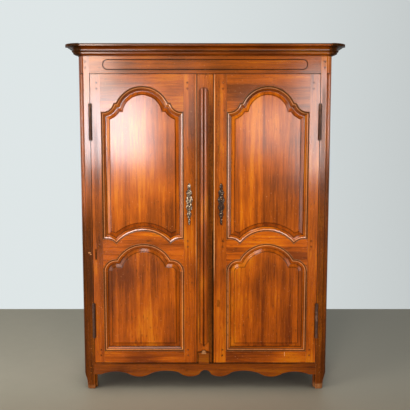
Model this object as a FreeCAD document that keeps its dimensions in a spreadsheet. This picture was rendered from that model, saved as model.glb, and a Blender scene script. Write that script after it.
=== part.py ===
import FreeCAD, Part
import math
import os
import re
import Sketcher
from FreeCAD import Vector

# A two-door panelled armoire, in millimetres. X runs to the right, Y to the back and Z up.
# The origin is on the floor, under the middle of the whole object, cornice included.
# The left half is drawn, and the pieces that come in pairs are mirrored to the right.

SIZES = (
    ("body_width", 1470, "carcase, outside to outside of the posts"),
    ("body_depth", 600, "carcase, front face to back"),
    ("body_height", 1990, "floor to the top of the posts"),
    ("cornice_height", 60, "cornice above the posts"),
    ("cornice_reach", 64, "cornice beyond the carcase"),
    ("cornice_board", 20, "cornice behind the carcase face"),
    ("cornice_foot", 3, "foot of the cornice beyond the carcase"),
    ("corner_step", 8, "round corners of the cornice before its straight runs"),
    ("fascia_reach", 20, "fascia of the cornice beyond the carcase"),
    ("fascia_low", 9, "lower edge of the fascia over the posts"),
    ("bead_low", 17, "lower edge of the quarter round over the posts"),
    ("bead_radius", 8, "quarter round of the cornice"),
    ("cove_radius", 14, "cove over the quarter round"),
    ("soffit_rise", 3, "slope of the soffit behind the fillet"),
    ("fillet_height", 13, "square edge at the top of the cornice"),
    ("post_width", 65, "front post, width of its face"),
    ("post_depth", 62, "front post, front to back"),
    ("post_round", 32, "round of the outer front corner"),
    ("post_rebate", 8, "lap of the post behind the door"),
    ("flute_radius", 14, "hollow of the corner flute"),
    ("flute_in", 17, "centre of the flute from the side"),
    ("flute_out", 2, "centre of the flute before the face"),
    ("flute_stop", 100, "plain length over the flute"),
    ("foot_taper", 20, "worn round of the foot, sideways"),
    ("foot_height", 100, "height of the worn round of the foot"),
    ("foot_bow", 6, "swell of the worn round of the foot"),
    ("rear_post_width", 50, "rear post, along the back"),
    ("rear_post_depth", 40, "rear post, front to back"),
    ("rail_thickness", 28, "frieze, apron and door frames"),
    ("frieze_width", 102, "height of the frieze rail"),
    ("cartouche_length", 1188, "incised cartouche, end to end"),
    ("cartouche_height", 62, "incised cartouche, top to bottom"),
    ("cartouche_line", 6, "width of the incised line"),
    ("cartouche_depth", 2, "depth of the incised line"),
    ("apron_top", 161, "top of the apron over the floor"),
    ("apron_ear", 89, "apron at the feet, over the floor"),
    ("ear_length", 37, "flat end of the apron at each foot"),
    ("dip_in", 200, "first drop from the foot"),
    ("dip_out", 340, "first drop, far end"),
    ("wave_in", 510, "second drop from the foot"),
    ("dip_height", 95, "ends of the first drop over the floor"),
    ("wave_height", 102, "start of the second drop over the floor"),
    ("cusp_height", 91, "cusps of the middle arch"),
    ("cusp_half", 35, "half width of the middle arch"),
    ("arch_bow", 14, "rise of the wide arches of the apron"),
    ("drop_bow", 20, "sag of the drops of the apron"),
    ("middle_bow", 26, "rise of the middle arch of the apron"),
    ("stile_width", 97, "centre stile"),
    ("stile_thickness", 26, "centre stile"),
    ("stile_recess", 6, "centre stile behind the door faces"),
    ("reed_width", 50, "reeded moulding on the stile"),
    ("reed_shift", 8, "reeded moulding left of the middle"),
    ("reed_fillet", 5, "flat edge of the reeded moulding"),
    ("reed_rise", 13, "reeds over the stile"),
    ("reed_foot", 98, "lower end of the reeds over the foot of the doors"),
    ("reed_head", 79, "upper end of the reeds below the top of the doors"),
    ("reed_shoulder", 5, "thickness of the edge of the reeded moulding"),
    ("base_block_width", 62, "block at the foot of the stile"),
    ("base_block_height", 68, "block at the foot of the stile"),
    ("base_block_rise", 16, "block over the stile"),
    ("block_cap_height", 7, "cap of the block"),
    ("block_cap_reach", 3, "cap beyond the block"),
    ("finial_radius", 11, "half round finial on the block"),
    ("finial_thickness", 9, "half round finial on the block"),
    ("door_gap", 3, "clearance round a door"),
    ("rebate_play", 0.5, "door clear of the rebate of its post"),
    ("overrun", 1, "how far a cut runs past the face it opens"),
    ("hinge_stile_width", 59, "hinge stile up to the moulding"),
    ("lock_stile_width", 74, "lock stile up to the moulding"),
    ("edge_bead", 12, "bead along the lock edge"),
    ("edge_groove", 1.5, "groove beside the edge bead"),
    ("top_rail_width", 67, "door top rail at the crown"),
    ("middle_rail_top", 968, "crown of the middle rail, upper side"),
    ("middle_rail_width", 75, "middle rail at the crown"),
    ("bottom_rail_width", 70, "door bottom rail"),
    ("crown_shoulder_width", 90, "upper arch foot from the side line"),
    ("crown_rise", 97, "rise of the upper arch"),
    ("lobe_radius", 63.3, "lobe under the upper arch"),
    ("lobe_in", 12.3, "lobe centre from the side line"),
    ("lobe_lift", 12, "lobe centre over the arch foot"),
    ("sill_shoulder", 80, "sill arch cusp from the side line"),
    ("sill_rise", 81, "rise of the sill arch"),
    ("sill_lobe_radius", 75, "lobe beside the sill arch"),
    ("sill_lobe_in", 20, "sill lobe centre from the side line"),
    ("sill_lobe_drop", 123, "sill lobe centre below the sill crown"),
    ("hood_shoulder", 79.6, "lower arch foot from the side line"),
    ("hood_rise", 93.6, "rise of the lower arch"),
    ("hood_round", 76, "round shoulder of the lower arch"),
    ("moulding_width", 25, "moulding of the door frames"),
    ("moulding_depth", 10, "fall of the moulding"),
    ("quirk_depth", 3.2, "quirk at the outer line"),
    ("quirk_width", 3.5, "quirk at the outer line"),
    ("ovolo_start", 0.8, "outer edge of the round member below the face"),
    ("ovolo_fall", 2.4, "inner edge of the round member below the face"),
    ("ovolo_end", 14, "inner edge of the round member from the outer line"),
    ("step_fall", 6, "foot of the step below the face"),
    ("step_end", 15, "foot of the step from the outer line"),
    ("tongue_thickness", 6.4, "edge of a panel"),
    ("tongue_front", 14.3, "edge of a panel behind the face"),
    ("tongue_slack", 0.3, "clearance of a panel in its groove"),
    ("groove_depth", 10, "groove of the frames"),
    ("panel_play", 1.5, "room for a panel to swell"),
    ("field_inset", 53, "raised field from the outer line"),
    ("field_bevel", 22, "width of the bevel round the field"),
    ("field_front", 6.5, "raised field behind the face"),
    ("knuckle_radius", 8, "barrel of a hinge"),
    ("knuckle_length", 104.8, "one knuckle of a hinge"),
    ("knuckle_gap", 0.2, "clearance between the knuckles"),
    ("pin_radius", 4.5, "hinge pin"),
    ("pin_length", 90, "hinge pin over its knuckle"),
    ("pin_clearance", 0.05, "running fit of the pin"),
    ("axis_out", 8.3, "hinge axis before the door face"),
    ("leaf_thickness", 2.2, "hinge leaf"),
    ("leaf_width", 26, "hinge leaf behind the face"),
    ("leaf_height", 84, "hinge leaf"),
    ("leaf_play", 0.5, "hinge leaf clear of the pin"),
    ("bore_extra", 1, "bore of a hinge beyond the pin"),
    ("upper_hinge", 275, "parting of the upper hinge below the top of the door"),
    ("lower_hinge", 261, "parting of the lower hinge over the foot of the door"),
    ("lock_height", 1162, "keyhole over the floor"),
    ("key_backset", 43, "keyhole from the lock edge"),
    ("lock_case_width", 86, "lock case"),
    ("lock_case_height", 110, "lock case"),
    ("lock_case_depth", 22, "lock case"),
    ("lock_case_wall", 2, "lock case plate"),
    ("lock_case_inset", 2, "lock case from the lock edge"),
    ("bolt_length", 62, "lock bolt"),
    ("bolt_thickness", 8, "lock bolt"),
    ("bolt_height", 24, "lock bolt"),
    ("bolt_slack", 0.3, "clearance of the bolt in its slot"),
    ("bolt_behind", 7, "bolt behind the door"),
    ("keep_start", 1, "keep from the edge of the stile"),
    ("keep_width", 18, "keep on the back of the stile"),
    ("keep_height", 44, "keep on the back of the stile"),
    ("keep_wall", 3, "wall of the keep"),
    ("keep_slack", 1, "room round the bolt in the keep"),
    ("scutcheon_width", 40, "brass escutcheon"),
    ("scutcheon_height", 244, "brass escutcheon"),
    ("scutcheon_drop", 152, "escutcheon below the keyhole"),
    ("scutcheon_thickness", 2.5, "brass escutcheon"),
    ("keyhole_radius", 4, "keyhole"),
    ("keyhole_drop", 14, "foot of the keyhole's slot below its round"),
    ("keyhole_slot", 4, "width of the keyhole's slot"),
    ("leaf_bow", 1.5, "swell of a leaf of the escutcheon"),
    ("slit_out", 6.8, "slits of the escutcheon from its spine"),
    ("slit_width", 4.4, "slits of the escutcheon"),
    ("side_inset", 6, "side frames behind the post sides"),
    ("side_thickness", 26, "side rails"),
    ("side_top_rail_width", 110, "side top rail"),
    ("side_middle_rail_width", 90, "side middle rail"),
    ("side_middle_height", 930, "middle of the side middle rail"),
    ("side_bottom_rail_width", 110, "side bottom rail"),
    ("side_bottom_height", 90, "underside of the side bottom rail"),
    ("side_panel_thickness", 12, "side panels"),
    ("side_panel_front", 6, "side panels behind the rail faces"),
    ("side_bevel", 34, "bevel round a side panel"),
    ("side_bevel_depth", 5, "fall of the side panel bevel"),
    ("back_thickness", 24, "back rails"),
    ("back_rail_width", 90, "back rails"),
    ("back_board_thickness", 12, "back boards"),
    ("back_board_count", 8, "boards between the rear posts"),
    ("board_joint", 0.6, "open joint between boards"),
    ("shelf_thickness", 20, "shelves"),
    ("shelf_play", 2, "shelf from the sides"),
    ("first_shelf", 540, "top of the lowest shelf"),
    ("shelf_pitch", 440, "shelf to shelf"),
    ("shelf_setback", 4, "shelves from the posts"),
    ("cleat_size", 24, "cleats under the shelves"),
    ("floor_height", 150, "top of the floor boards"),
    ("floor_thickness", 18, "floor and ceiling boards"),
    ("floor_board_count", 4, "boards in the floor and the ceiling"),
)

# Lengths that follow from the driving sizes, in the same words.
DERIVED = {
    "front": "(cornice_reach + corner_step - body_depth) / 2",
    "back": "(cornice_reach + corner_step + body_depth) / 2",
    "side": "body_width / 2",
    "opening": "side - post_width",
    "door_back": "front + rail_thickness",
    "door_bottom": "apron_top + door_gap",
    "frieze_bottom": "body_height - frieze_width",
    "door_top": "frieze_bottom - door_gap",
    "hinge_edge": "opening - door_gap",
    "lock_edge": "stile_width / 2 + door_gap",
    "line_out": "hinge_edge - hinge_stile_width",
    "line_in": "lock_edge + lock_stile_width",
    "panel_centre": "(line_out + line_in) / 2",
    "panel_half": "(line_out - line_in) / 2",
    "crown": "door_top - top_rail_width",
    "crown_foot": "crown - crown_rise",
    "crown_radius": "((panel_half - crown_shoulder_width)^2 + crown_rise^2) / (2 * crown_rise)",
    "lobe_height": "crown_foot + lobe_lift",
    "sill_radius": "((panel_half - sill_shoulder)^2 + sill_rise^2) / (2 * sill_rise)",
    "sill_lobe_height": "middle_rail_top - sill_lobe_drop",
    "hood": "middle_rail_top - middle_rail_width",
    "hood_foot": "hood - hood_rise",
    "hood_radius": "((panel_half - hood_shoulder)^2 + hood_rise^2) / (2 * hood_rise)",
    "hood_spring": "hood_foot - hood_round",
    "sill": "door_bottom + bottom_rail_width",
    "tongue_back": "tongue_front + tongue_thickness",
    "hinge_axis": "opening - door_gap / 2",
    "key_x": "lock_edge + key_backset",
    "case_edge": "lock_edge + lock_case_inset",
    "bolt_front": "door_back + bolt_behind",
    "stile_back": "front + stile_recess + stile_thickness",
    "rear_opening": "side - rear_post_width",
    "side_face": "side - side_inset",
    "side_inner": "side_face - side_thickness",
    "bay_front": "front + post_depth",
    "bay_back": "back - rear_post_depth",
    "side_top": "body_height - side_top_rail_width",
    "side_middle_low": "side_middle_height - side_middle_rail_width / 2",
    "side_middle_high": "side_middle_height + side_middle_rail_width / 2",
    "side_low": "side_bottom_height + side_bottom_rail_width",
    "reed_x": "-reed_shift",
    "reed_bottom": "door_bottom + reed_foot",
    "reed_top": "door_top - reed_head",
    "upper_parting": "door_top - upper_hinge",
    "lower_parting": "door_bottom + lower_hinge",
    "ear_in": "opening - ear_length",
}

# Tips and hollows of the escutcheon's leaves from foot to head, as shares of its height and width.
LEAVES = ((0, 0), (0.09, 0.14), (0.15, 0.08), (0.25, 0.32), (0.31, 0.18), (0.42, 0.46), (0.50, 0.30),
          (0.60, 0.50), (0.70, 0.28), (0.78, 0.40), (0.86, 0.14), (0.93, 0.22), (1, 0))
# Ends of the slits beside the escutcheon's spine, as shares of its height.
SLITS = ((0.35, 0.46), (0.66, 0.75))

PLANES = {"XY": "XY_Plane", "XZ": "XZ_Plane", "YZ": "YZ_Plane"}

doc = FreeCAD.newDocument("armoire")
sheet = doc.addObject("Spreadsheet::Sheet", "Sizes")
for row, (alias, size, meaning) in enumerate(SIZES, start=1):
    sheet.set(f"A{row}", meaning)
    sheet.set(f"B{row}", str(size))
    sheet.setAlias(f"B{row}", alias)
doc.recompute()

CELLS = {alias for alias, size, meaning in SIZES}
PARTS = []


def formula(text):
    """A formula in plain words as a FreeCAD expression on the cells of the sheet."""
    def put_in(match):
        word = match.group()
        if word in DERIVED:
            return f"({formula(DERIVED[word])})"
        return f"Sizes.{word}" if word in CELLS else word
    return re.sub(r"[A-Za-z_][A-Za-z_0-9]*", put_in, text)


def number(text):
    """The present value of a formula."""
    value = doc.getObject("Sizes").evalExpression(formula(text).replace("Sizes.", ""))
    return float(getattr(value, "Value", value))


def bind(thing, path, text):
    """Ties a property to the sheet."""
    thing.setExpression(path, formula(text))


# --- outlines -----------------------------------------------------------------------------
# An outline is a list of edges and corners in order round the shape. A corner between two
# edges that have no point between them is where the two meet.

def point(x, y):
    return ("point", x, y)


def line():
    return ("line",)


def upright(x):
    return ("upright", x)


def level(y):
    return ("level", y)


def arc(x, y, radius, turn):
    """An arc about a given centre."""
    return ("arc", x, y, radius, turn)


def meet(where):
    """Which of two meetings the next corner is: the left, right, upper or lower one."""
    return ("meet", where)


def bow(rise, turn):
    """An arc between two given points that rises over their chord."""
    return ("bow", rise, turn)


def quarter(radius, turn):
    """A quarter round between two given points."""
    return bow(f"({radius}) * (1 - sqrt(0.5))", turn)


def circle(x, y, radius):
    """A whole outline that is one circle."""
    return [("circle", x, y, radius)]


def polygon(*corners):
    edges = []
    for corner in corners:
        edges += [point(*corner), line()]
    return edges


def rectangle(x0, x1, y0, y1):
    return polygon((x0, y0), (x1, y0), (x1, y1), (x0, y1))


def meetings(one, other):
    """The points where two edges of known place meet."""
    kinds = (one[0], other[0])
    if kinds == ("upright", "level"):
        return [(number(one[1]), number(other[1]))]
    if kinds == ("level", "upright"):
        return [(number(other[1]), number(one[1]))]
    if kinds[0] != "arc":
        return meetings(other, one)
    x, y, radius = (number(text) for text in one[1:4])
    if kinds[1] == "upright":
        across = number(other[1])
        half = math.sqrt(max(radius ** 2 - (across - x) ** 2, 0))
        return [(across, y - half), (across, y + half)]
    if kinds[1] == "level":
        height = number(other[1])
        half = math.sqrt(max(radius ** 2 - (height - y) ** 2, 0))
        return [(x - half, height), (x + half, height)]
    x2, y2, radius2 = (number(text) for text in other[1:4])
    apart = math.hypot(x2 - x, y2 - y)
    along = (apart ** 2 + radius ** 2 - radius2 ** 2) / (2 * apart)
    half = math.sqrt(max(radius ** 2 - along ** 2, 0))
    ux, uy = (x2 - x) / apart, (y2 - y) / apart
    return [(x + along * ux - half * uy, y + along * uy + half * ux),
            (x + along * ux + half * uy, y + along * uy - half * ux)]


def corner_before(outline, place):
    """The corner where the edge at this place starts, and its formulas if it is a given point."""
    before = outline[place - 1]
    if before[0] == "point":
        return (number(before[1]), number(before[2])), before[1:]
    if before[0] != "meet":
        return meetings(before, outline[place])[0], None
    order = {"left": lambda p: p[0], "right": lambda p: -p[0],
             "lower": lambda p: p[1], "upper": lambda p: -p[1]}
    return min(meetings(outline[place - 2], outline[place]), key=order[before[1]]), None


def bow_centre(start, end, rise, turn):
    """Centre and radius of an arc that rises by so much over the chord, turning left or right."""
    chord = math.hypot(end[0] - start[0], end[1] - start[1])
    radius = ((chord / 2) ** 2 + rise ** 2) / (2 * rise)
    to_chord = radius - rise
    ux, uy = (end[0] - start[0]) / chord, (end[1] - start[1]) / chord
    side = 1 if turn == "ccw" else -1
    middle = ((start[0] + end[0]) / 2, (start[1] + end[1]) / 2)
    return (middle[0] - side * uy * to_chord, middle[1] + side * ux * to_chord), radius


def arc_geometry(centre, start, end, turn):
    """The arc and the numbers of its first and last points as the sketcher counts them."""
    circle = Part.Circle(Vector(*centre, 0), Vector(0, 0, 1), math.dist(centre, start))
    first, last = (start, end) if turn == "ccw" else (end, start)
    angles = [math.atan2(p[1] - centre[1], p[0] - centre[0]) for p in (first, last)]
    if angles[1] <= angles[0]:
        angles[1] += 2 * math.pi
    return Part.ArcOfCircle(circle, *angles), ((1, 2) if turn == "ccw" else (2, 1))


def fix(sketch, kind, value_text, *where):
    """Adds a constraint whose value is a formula."""
    value = number(value_text)
    index = sketch.addConstraint(Sketcher.Constraint(kind, *where, value))
    bind(sketch, f"Constraints[{index}]", value_text)


def draw(sketch, outline):
    """Draws one closed outline in a sketch and ties it to the sheet."""
    if outline[0][0] == "circle":
        x, y, radius = outline[0][1:]
        whole = Part.Circle(Vector(number(x), number(y), 0), Vector(0, 0, 1), number(radius))
        geometry = sketch.addGeometry(whole, False)
        fix(sketch, "DistanceX", x, -1, 1, geometry, 3)
        fix(sketch, "DistanceY", y, -1, 1, geometry, 3)
        fix(sketch, "Radius", radius, geometry)
        return
    places = [i for i, item in enumerate(outline) if item[0] not in ("point", "meet")]
    edges = [outline[i] for i in places]
    corners, texts = zip(*(corner_before(outline, i) for i in places))
    ends = []
    for place, edge in enumerate(edges):
        start, end = corners[place], corners[(place + 1) % len(edges)]
        if edge[0] == "arc":
            centre = (number(edge[1]), number(edge[2]))
            shape, numbers = arc_geometry(centre, start, end, edge[4])
        elif edge[0] == "bow":
            centre, radius = bow_centre(start, end, number(edge[1]), edge[2])
            shape, numbers = arc_geometry(centre, start, end, edge[2])
        else:
            shape, numbers = Part.LineSegment(Vector(*start, 0), Vector(*end, 0)), (1, 2)
        ends.append((sketch.addGeometry(shape, False), *numbers))
    for place, (geometry, first, last) in enumerate(ends):
        other, other_first, other_last = ends[(place + 1) % len(ends)]
        sketch.addConstraint(Sketcher.Constraint("Coincident", geometry, last, other, other_first))
    for place, (geometry, first, last) in enumerate(ends):
        edge, text = edges[place], texts[place]
        if text:
            fix(sketch, "DistanceX", text[0], -1, 1, geometry, first)
            fix(sketch, "DistanceY", text[1], -1, 1, geometry, first)
        if edge[0] == "upright":
            sketch.addConstraint(Sketcher.Constraint("Vertical", geometry))
            fix(sketch, "DistanceX", edge[1], -1, 1, geometry, first)
        elif edge[0] == "level":
            sketch.addConstraint(Sketcher.Constraint("Horizontal", geometry))
            fix(sketch, "DistanceY", edge[1], -1, 1, geometry, first)
        elif edge[0] == "arc":
            fix(sketch, "DistanceX", edge[1], -1, 1, geometry, 3)
            fix(sketch, "DistanceY", edge[2], -1, 1, geometry, 3)
            fix(sketch, "Radius", edge[3], geometry)
        elif edge[0] == "bow":
            begin, finish = texts[place], texts[(place + 1) % len(edges)]
            chord = f"(({finish[0]}) - ({begin[0]}))^2 + (({finish[1]}) - ({begin[1]}))^2"
            fix(sketch, "Radius", f"(({chord}) / 4 + ({edge[1]})^2) / (2 * ({edge[1]}))", geometry)


# --- bodies and features ------------------------------------------------------------------

def new_body(label):
    body = doc.addObject("PartDesign::Body", label)
    body.Label = label
    return body


def plane_of(body, plane):
    return next(f for f in body.Origin.OriginFeatures if f.Role == PLANES[plane])


def body_sketch(body, plane, offset, *outlines):
    """A sketch on one of the body's own planes, moved along the plane's normal."""
    sketch = body.newObject("Sketcher::SketchObject", f"{body.Name}_sketch")
    sketch.AttachmentSupport = [(plane_of(body, plane), "")]
    sketch.MapMode = "FlatFace"
    bind(sketch, "AttachmentOffset.Base.z", offset)
    for outline in outlines:
        draw(sketch, outline)
    return sketch


def pad(body, plane, offset, length, *outlines):
    feature = body.newObject("PartDesign::Pad", f"{body.Name}_pad")
    feature.Profile = body_sketch(body, plane, offset, *outlines)
    bind(feature, "Length", length)
    body.Tip = feature
    return feature


def pocket(body, plane, offset, length, *outlines):
    """Cuts from the sketch plane against the plane's normal."""
    feature = body.newObject("PartDesign::Pocket", f"{body.Name}_pocket")
    feature.Profile = body_sketch(body, plane, offset, *outlines)
    bind(feature, "Length", length)
    body.Tip = feature
    return feature


def board(label, x0, x1, y0, y1, z0, z1):
    """A plain board between two corners."""
    body = new_body(label)
    pad(body, "XY", z0, f"({z1}) - ({z0})", rectangle(x0, x1, y0, y1))
    return body


def front_board(label, y0, y1, *outlines):
    """A board drawn from the front, from its front face at y0 to its back at y1."""
    body = new_body(label)
    pad(body, "XZ", f"-({y1})", f"({y1}) - ({y0})", *outlines)
    return body


def free_sketch(name, y, outline):
    """A sketch that faces the front, at a given depth."""
    sketch = doc.addObject("Sketcher::SketchObject", name)
    sketch.Placement = FreeCAD.Placement(Vector(0, 0, 0), FreeCAD.Rotation(Vector(1, 0, 0), 90))
    bind(sketch, "Placement.Base.y", y)
    draw(sketch, outline)
    return sketch


def free_slab(name, y0, y1, outline):
    """A solid of an outline that faces the front, from y0 to y1."""
    slab = doc.addObject("Part::Extrusion", name)
    slab.Base = free_sketch(f"{name}_sketch", y1, outline)
    slab.DirMode = "Custom"
    slab.Dir = Vector(0, -1, 0)
    slab.Solid = True
    bind(slab, "LengthFwd", f"({y1}) - ({y0})")
    return slab


def free_loft(name, sections):
    """A solid through outlines at several depths, straight from one to the next."""
    loft = doc.addObject("Part::Loft", name)
    loft.Sections = [free_sketch(f"{name}_section", y, outline) for y, outline in sections]
    loft.Solid = True
    loft.Ruled = True
    return loft


def joined(name, shapes):
    fused = doc.addObject("Part::MultiFuse", name)
    fused.Shapes = shapes
    return fused


def cut(name, base, tool):
    result = doc.addObject("Part::Cut", name)
    result.Base = base
    result.Tool = tool
    return result


def group(name, pieces):
    """Separate like pieces under one name."""
    compound = doc.addObject("Part::Compound", name)
    compound.Links = pieces
    return compound


def keep(piece, label):
    """Lists a finished sub-part."""
    piece.Label = label
    PARTS.append(piece)
    return piece


def mirrored(piece, label):
    """The same piece for the other side of the cabinet."""
    twin = doc.addObject("Part::Mirroring", label)
    twin.Source = piece
    twin.Normal = Vector(1, 0, 0)
    return keep(twin, label)


def both_sides(piece, label):
    """Keeps a left piece and its right twin. The word left in the label becomes right."""
    keep(piece, label)
    mirrored(piece, label.replace("left", "right"))


# --- doors --------------------------------------------------------------------------------

def crown_opening(inset):
    """Upper panel opening of the left door, an arch between lobes over a cusped sill."""
    def left(text):
        return f"-panel_centre - ({text})"

    def right(text):
        return f"-panel_centre + ({text})"
    side_in = f"panel_half - ({inset})"
    lobe = ("lobe_height", f"lobe_radius + ({inset})")
    sill_lobe = ("sill_lobe_height", f"sill_lobe_radius + ({inset})")
    return [
        upright(left(side_in)), meet("lower"),
        arc(left("panel_half - lobe_in"), *lobe, "ccw"), meet("right"),
        level(f"crown_foot - ({inset})"), meet("left"),
        arc("-panel_centre", "crown - crown_radius", f"crown_radius - ({inset})", "cw"), meet("right"),
        level(f"crown_foot - ({inset})"), meet("left"),
        arc(right("panel_half - lobe_in"), *lobe, "ccw"), meet("lower"),
        upright(right(side_in)), meet("upper"),
        arc(right("panel_half - sill_lobe_in"), *sill_lobe, "ccw"), meet("upper"),
        arc("-panel_centre", "middle_rail_top - sill_radius", f"sill_radius + ({inset})", "ccw"),
        meet("upper"),
        arc(left("panel_half - sill_lobe_in"), *sill_lobe, "ccw"), meet("upper"),
    ]


def hood_opening(inset):
    """Lower panel opening of the left door, an arch between round shoulders."""
    foot = f"hood_foot - ({inset})"
    half_arch = f"sqrt((hood_radius - ({inset}))^2 - (hood_radius - hood_rise - ({inset}))^2)"
    shoulder = bow(f"(hood_round - ({inset})) * (1 - sqrt(0.5))", "cw")
    outer, inner = f"-line_out + ({inset})", f"-line_in - ({inset})"
    return [
        point(outer, f"sill + ({inset})"), line(), point(outer, "hood_spring"), shoulder,
        point("-line_out + hood_round", foot), line(),
        point(f"-panel_centre - {half_arch}", foot), bow("hood_rise", "cw"),
        point(f"-panel_centre + {half_arch}", foot), line(),
        point("-line_in - hood_round", foot), shoulder,
        point(inner, "hood_spring"), line(), point(inner, f"sill + ({inset})"), line(),
    ]


def opening_cutter(name, opening):
    """What is cut from the frame round one panel: moulded edge, clear opening and groove."""
    profile = (
        ("0", "-overrun"),
        ("0", "quirk_depth"),
        ("quirk_width", "ovolo_start"),
        ("ovolo_end", "ovolo_fall"),
        ("step_end", "step_fall"),
        ("moulding_width", "moulding_depth"),
    )
    moulding = free_loft(f"{name}_moulding", [(f"front + ({y})", opening(inset)) for inset, y in profile])
    clear = free_slab(f"{name}_clear", "front + moulding_depth", "door_back + overrun", opening("moulding_width"))
    groove = free_slab(f"{name}_groove", "front + tongue_front - tongue_slack",
                       "front + tongue_back + tongue_slack", opening("moulding_width - groove_depth"))
    return joined(name, [moulding, clear, groove])


def fielded_panel(name, opening):
    """A panel with a thin edge for the groove and a raised field that follows the opening."""
    edge = free_slab(f"{name}_edge", "front + tongue_front", "front + tongue_back",
                     opening("moulding_width - groove_depth + panel_play"))
    field = free_loft(f"{name}_field", [
        ("front + (tongue_front + tongue_back) / 2", opening("field_inset - field_bevel")),
        ("front + tongue_front", opening("field_inset - field_bevel")),
        ("front + field_front", opening("field_inset")),
    ])
    return joined(name, [edge, field])


def seam_heights():
    """Where the seams between stiles and rails meet the outer line and the inner edge of the moulding."""
    lobe_reach = "sqrt((lobe_radius + {0})^2 - ({0} - lobe_in)^2)"
    sill_reach = "sqrt((sill_lobe_radius + {0})^2 - ({0} - sill_lobe_in)^2)"
    inner = ("0", "moulding_width")
    return (
        ("sill", "sill + moulding_width"),
        ("hood_spring", "hood_spring"),
        tuple(f"sill_lobe_height + {sill_reach.format(inset)}" for inset in inner),
        tuple(f"lobe_height - {lobe_reach.format(inset)}" for inset in inner),
    )


def stile_outline(edge, line, way):
    """A door stile up to the outer moulding line, and up to its inner edge along the openings."""
    sight = f"({line}) {way} moulding_width"
    corners = [(edge, "door_top"), (edge, "door_bottom"), (line, "door_bottom")]
    for place, (at_line, at_sight) in enumerate(seam_heights()):
        pair = [(line, at_line), (sight, at_sight)]
        corners += pair if place % 2 == 0 else pair[::-1]
    corners.append((line, "door_top"))
    return polygon(*corners)


def door_frame():
    """Stiles and rails of the left door, with their moulded edges."""
    tool = joined("openings", [opening_cutter("crown_cutter", crown_opening),
                               opening_cutter("hood_cutter", hood_opening)])
    y = ("front", "door_back")
    hinge_stile = front_board("hinge_stile", *y, stile_outline("-hinge_edge", "-line_out", "+"))
    lock_stile = front_board("lock_stile", *y, stile_outline("-lock_edge", "-line_in", "-"))
    groove = [point("-lock_edge - edge_bead - edge_groove", "front - overrun"), line(),
              point("-lock_edge - edge_bead + edge_groove", "front - overrun"), line(),
              point("-lock_edge - edge_bead", "front + edge_groove"), line()]
    pocket(lock_stile, "XY", "door_top", "door_top - door_bottom", groove)
    low, spring, sill_ends, lobe_ends = seam_heights()
    sights = ("-line_out + moulding_width", "-line_in - moulding_width")
    top_rail = front_board("top_rail", *y, polygon(
        ("-line_out", "door_top"), ("-line_out", lobe_ends[0]), (sights[0], lobe_ends[1]),
        (sights[1], lobe_ends[1]), ("-line_in", lobe_ends[0]), ("-line_in", "door_top")))
    middle_rail = front_board("middle_rail", *y, polygon(
        ("-line_out", sill_ends[0]), ("-line_out", spring[0]), ("-line_in", spring[0]),
        ("-line_in", sill_ends[0]), (sights[1], sill_ends[1]),
        (sights[1], "middle_rail_top + moulding_width"),
        (sights[0], "middle_rail_top + moulding_width"), (sights[0], sill_ends[1])))
    bottom_rail = front_board("bottom_rail", *y, polygon(
        ("-line_out", low[0]), ("-line_out", "door_bottom"), ("-line_in", "door_bottom"),
        ("-line_in", low[0]), (sights[1], low[1]), (sights[0], low[1])))
    for piece in (hinge_stile, lock_stile, top_rail, middle_rail, bottom_rail):
        name = f"door_left_{piece.Label}"
        both_sides(cut(name, piece, tool), name)


def door_panels():
    both_sides(fielded_panel("door_left_upper_panel", crown_opening), "door_left_upper_panel")
    both_sides(fielded_panel("door_left_lower_panel", hood_opening), "door_left_lower_panel")


def hinge_half(name, parting, moving):
    """One knuckle with its leaf. The moving half is bored, the fixed half carries the pin."""
    half = new_body(name)
    way = "+" if moving else "-"
    end = f"({parting}) {way} knuckle_gap / 2"
    far = f"({end}) {way} knuckle_length"
    if moving:
        inner = "pin_radius + pin_clearance"
        deep = f"({end}) + pin_length + knuckle_gap + bore_extra"
        profile = polygon((inner, end), ("knuckle_radius", end), ("knuckle_radius", far), ("0", far),
                          ("0", deep), (inner, deep))
    else:
        tip = f"({end}) + pin_length"
        profile = polygon(("0", far), ("knuckle_radius", far), ("knuckle_radius", end),
                          ("pin_radius", end), ("pin_radius", tip), ("0", tip))
    turned = half.newObject("PartDesign::Revolution", f"{name}_barrel")
    turned.Profile = body_sketch(half, "XZ", "0", profile)
    turned.ReferenceAxis = (turned.Profile[0], ["V_Axis"])
    turned.Angle = 360
    half.Tip = turned
    face = "-hinge_edge + hinge_axis" if moving else "-opening + hinge_axis"
    other = f"({face}) {'-' if moving else '+'} leaf_thickness"
    low, high = sorted((face, other), key=number)
    base = f"({end}) {way} (knuckle_length + leaf_height) / 2"
    start = base if not moving else f"({end}) + (knuckle_length - leaf_height) / 2"
    pad(half, "XY", start, "leaf_height",
        rectangle(low, high, "pin_radius + pin_clearance + leaf_play", "axis_out + leaf_width"))
    bind(half, "Placement.Base.x", "-hinge_axis")
    bind(half, "Placement.Base.y", "front - axis_out")
    return half


def hinges():
    for name, moving in (("door_left_hinge_sleeves", True), ("hinge_pins_left", False)):
        halves = [hinge_half(f"{name}_{place}", f"{place}_parting", moving) for place in ("upper", "lower")]
        both_sides(group(name, halves), name)


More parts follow.
